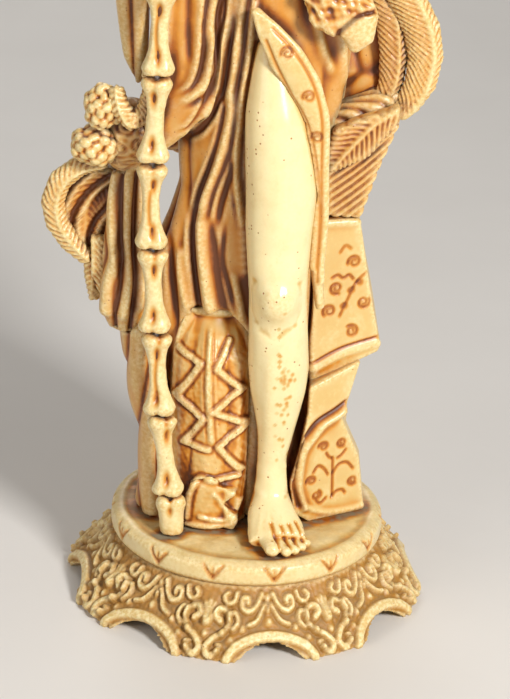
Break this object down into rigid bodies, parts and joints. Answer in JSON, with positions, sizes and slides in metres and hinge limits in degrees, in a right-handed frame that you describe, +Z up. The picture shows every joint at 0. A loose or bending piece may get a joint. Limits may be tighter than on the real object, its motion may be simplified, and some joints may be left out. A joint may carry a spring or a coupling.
{
  "type": "resin skeleton lady figurine",
  "caption": "Standing skeleton lady figurine with one bare leg, bone staff, feather boa, folded gown, cloak and wide plumed hat, on a notched disc over a flared scrollwork plinth.",
  "frame": {"origin": "on the floor, at the centre of the plinth's foot circle", "axes": "+Z up, -Y the figure's front, +X the viewer's right when facing the front"},
  "size_m": [0.112, 0.112, 0.3018],
  "materials": {
    "ivory_resin": "cream cast resin, glossy, with an amber wash left in hollows and joints",
    "feather_resin": "cream cast resin over a strong amber wash between the barbs, glossy",
    "robe_resin": "amber-washed cast resin, cream on the crests and red-brown in the folds, glossy",
    "plinth_resin": "ochre-brown stippled ground with cream rubbed scrolls and grey dust on upward faces, semi-gloss",
    "dowel_steel": "plain drawn steel pin, hidden inside the castings"
  },
  "bodies": {
    "root": {"ground_disc": "ivory_resin", "standing_leg": "ivory_resin", "skull": "ivory_resin", "neck": "ivory_resin", "left_hand": "ivory_resin", "right_hand": "ivory_resin", "necklace": "ivory_resin", "sash_tail": "ivory_resin", "waist_belt": "ivory_resin", "staff_finial": "ivory_resin", "staff_bone_1": "ivory_resin", "staff_bone_2": "ivory_resin", "staff_bone_3": "ivory_resin", "staff_bone_4": "ivory_resin", "staff_bone_5": "ivory_resin", "staff_bone_6": "ivory_resin", "staff_bone_7": "ivory_resin", "staff_bone_8": "ivory_resin", "staff_bone_9": "ivory_resin", "right_plume_outer": "feather_resin", "right_plume_inner": "feather_resin", "right_leaf_plume": "feather_resin", "right_tail_plume": "feather_resin", "left_plume_curl": "feather_resin", "left_plume_tips": "feather_resin", "left_plume_fan": "feather_resin", "upper_marigold": "feather_resin", "lower_marigold": "feather_resin", "scaled_curl": "feather_resin", "boa_knot": "feather_resin", "boa_back": "feather_resin", "hat_plume_1": "feather_resin", "hat_plume_2": "feather_resin", "hat_plume_3": "feather_resin", "hat_roses": "feather_resin", "front_lapel": "robe_resin", "apron_panel": "robe_resin", "cloak_upper_fold": "robe_resin", "cloak_lower_fold": "robe_resin", "side_drape": "robe_resin", "under_drape": "robe_resin", "sleeve_tail": "robe_resin", "right_sleeve": "robe_resin", "left_sleeve": "robe_resin", "gown": "robe_resin", "bodice": "robe_resin", "cloak_back": "robe_resin", "hair_bun": "robe_resin", "hat_brim": "robe_resin", "hat_crown": "robe_resin", "hat_band": "robe_resin", "plinth_skirt": "plinth_resin", "foot_dowel": "dowel_steel", "gown_dowel": "dowel_steel", "spine_dowel": "dowel_steel", "neck_dowel": "dowel_steel", "hat_dowel": "dowel_steel", "right_shoulder_dowel": "dowel_steel", "left_shoulder_dowel": "dowel_steel", "staff_rod": "dowel_steel"}
  },
  "joints": []
}
